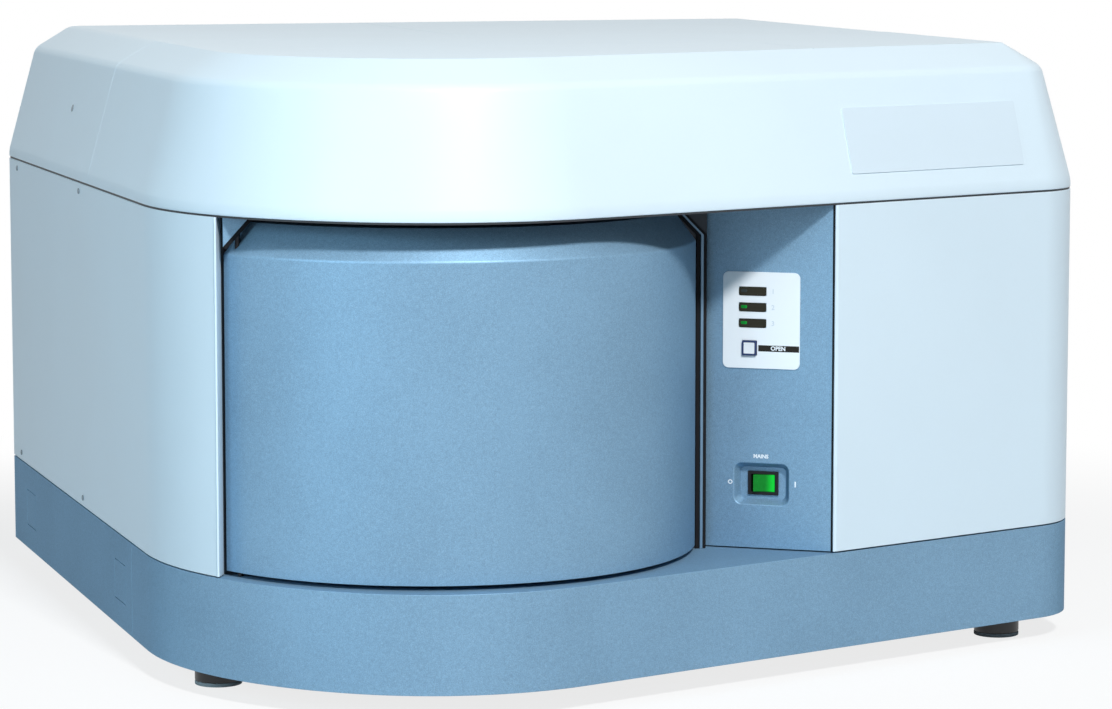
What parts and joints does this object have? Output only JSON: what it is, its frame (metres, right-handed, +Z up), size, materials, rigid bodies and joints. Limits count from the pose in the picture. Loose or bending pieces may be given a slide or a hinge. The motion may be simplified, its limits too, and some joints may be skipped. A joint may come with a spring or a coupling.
{
  "type": "confocal raman microscope",
  "caption": "Bench-top laser Raman spectrometer cabinet with a round hinged sample-chamber door, tapered front, switch panel and a microscope, lasers and spectrograph inside.",
  "frame": {"origin": "centre of the footprint, on the surface that the feet stand on", "axes": "+X to the user's right, +Y to the back of the cabinet, +Z up"},
  "size_m": [1.0024, 1.0699, 0.6355],
  "materials": {
    "white_paint": "smooth pale cool-white powder coat",
    "metallic_paint": "fine-speckled metallic blue-grey paint",
    "base_paint": "plain grey paint",
    "frame_paint": "matt black powder coat",
    "chamber_grey": "satin grey paint",
    "chamber_black": "matt black light-tight paint",
    "stand_paint": "fine-textured light grey enamel",
    "foot_pad_rubber": "grey moulded rubber",
    "black_foot": "black moulded plastic",
    "black_rubber": "black extruded rubber",
    "black_plastic": "black moulded plastic",
    "screw_metal": "small plated screws",
    "bare_steel": "turned bright steel",
    "trim_aluminium": "drawn satin aluminium",
    "blank_plate": "pale satin plate without lettering",
    "white_film": "white front film",
    "dark_window": "dark olive lamp window",
    "button_grey": "grey cap with a dark rim",
    "green_lamp": "clear green lit rocker",
    "anodised_black": "matt black anodised",
    "anodised_clear": "clear anodised",
    "stage_black": "black anodised, ground edges",
    "chrome_parts": "bright chrome",
    "objective_metal": "satin chrome barrels",
    "knob_plastic": "black knurled knobs",
    "camera_blue": "dark blue camera body",
    "lamp_black": "black finned lamp house",
    "laser_body": "grey laser housings",
    "mirror_glass": "aluminised mirrors in black mounts",
    "grating_metal": "ruled gratings on an anodised table",
    "detector_grey": "dark finned detector body",
    "board_green": "circuit board and supply case"
  },
  "bodies": {
    "instrument": {"foot_pads": "foot_pad_rubber", "foot_blocks": "black_foot", "base_floor": "base_paint", "base_front_skirt": "metallic_paint", "base_side_and_rear_skirts": "metallic_paint", "lifting_bar_covers": "metallic_paint", "base_deck": "metallic_paint", "frame_posts": "frame_paint", "left_side_panel": "white_paint", "right_side_panel": "white_paint", "rear_panel": "white_paint", "panel_screws": "screw_metal", "front_hood": "white_paint", "rear_left_hood": "white_paint", "rear_right_hood": "white_paint", "hood_access_lid": "white_paint", "hood_name_plate": "blank_plate", "upper_frame": "frame_paint", "pivot_pins": "bare_steel", "door_frame": "chamber_grey", "door_trim": "trim_aluminium", "trim_seals": "black_rubber", "door_lock": "black_plastic", "chamber_walls": "chamber_black", "control_panel": "metallic_paint", "indicator_plate": "white_film", "indicator_windows": "dark_window", "switch_case": "black_plastic", "bench_isolators": "black_rubber", "optical_bench": "anodised_black", "microscope_stand": "stand_paint", "video_camera": "camera_blue", "lamp_house": "lamp_black", "lasers": "laser_body", "beam_optics": "anodised_black", "spectrograph_case": "stand_paint", "spectrograph_lid": "stand_paint", "spectrograph_mirrors": "mirror_glass", "slit_unit": "anodised_black", "detector_camera": "detector_grey", "base_electronics": "board_green", "fan_frame": "black_plastic", "mains_inlet": "black_plastic"},
    "door": {"door_shell": "metallic_paint", "door_liner": "chamber_black", "door_gasket": "black_rubber", "door_fittings": "bare_steel"},
    "bolt": {"lock_bolt": "bare_steel"},
    "button": {"door_button": "button_grey"},
    "rocker": {"power_rocker": "green_lamp"},
    "focus_knob_shaft": {"focus_knobs": "knob_plastic"},
    "focus_slide": {"focus_carriage": "stand_paint"},
    "stage_y": {"stage_y_plate": "stage_black"},
    "stage_x": {"stage_x_plate": "stage_black", "sample_holder": "anodised_clear"},
    "objective_turret": {"nosepiece": "chrome_parts", "objectives": "objective_metal"},
    "filter_disc": {"filter_wheel": "anodised_black"},
    "grating_table": {"grating_turret": "grating_metal"},
    "fan_wheel": {"fan_rotor": "black_plastic"}
  },
  "joints": [
    {"name": "door_hinge", "type": "hinge", "parent": "instrument", "child": "door", "pos_m": [-0.43823, -0.36405, 0.28], "axis": [0, 0, -1], "range_deg": [0, 75]},
    {"name": "lock_bolt_slide", "type": "slide", "parent": "instrument", "child": "bolt", "axis": [-1, 0, 0], "range_m": [0, 0.01]},
    {"name": "door_button_press", "type": "slide", "parent": "instrument", "child": "button", "axis": [0.5793, 0.8151, 0], "range_m": [0, 0.0016], "stiffness_N_per_m": 400, "springref_m": -0.001},
    {"name": "power_rocker_tilt", "type": "hinge", "parent": "instrument", "child": "rocker", "pos_m": [0.11579, -0.36192, 0.1916], "axis": [0, 0, 1], "range_deg": [-18, 0]},
    {"name": "focus_knob_turn", "type": "hinge", "parent": "instrument", "child": "focus_knob_shaft", "pos_m": [-0.19997, -0.09, 0.193], "axis": [1, 0, 0], "range_deg": [-540, 216]},
    {"name": "focus_slide_lift", "type": "slide", "parent": "instrument", "child": "focus_slide", "axis": [0, 0, 1], "range_m": [-0.03, 0.012]},
    {"name": "stage_y_move", "type": "slide", "parent": "focus_slide", "child": "stage_y", "axis": [0, 1, 0], "range_m": [-0.025, 0.025]},
    {"name": "stage_x_move", "type": "slide", "parent": "stage_y", "child": "stage_x", "axis": [1, 0, 0], "range_m": [-0.0375, 0.0375]},
    {"name": "objective_turret_turn", "type": "hinge", "parent": "instrument", "child": "objective_turret", "pos_m": [-0.19997, -0.185, 0.394], "axis": [0, 0, 1], "continuous": true},
    {"name": "filter_wheel_turn", "type": "hinge", "parent": "instrument", "child": "filter_disc", "pos_m": [-0.11997, 0.118, 0.217], "axis": [0, 1, 0], "continuous": true},
    {"name": "grating_table_turn", "type": "hinge", "parent": "instrument", "child": "grating_table", "pos_m": [0.245, 0.15, 0.18], "axis": [0, 0, 1], "continuous": true},
    {"name": "fan_wheel_turn", "type": "hinge", "parent": "instrument", "child": "fan_wheel", "pos_m": [0.33, 0.52, 0.249], "axis": [0, 1, 0], "continuous": true}
  ],
  "couplings": [
    {"joint": "focus_knob_turn", "follows": "focus_slide_lift", "rad_per_m": 314.16}
  ]
}
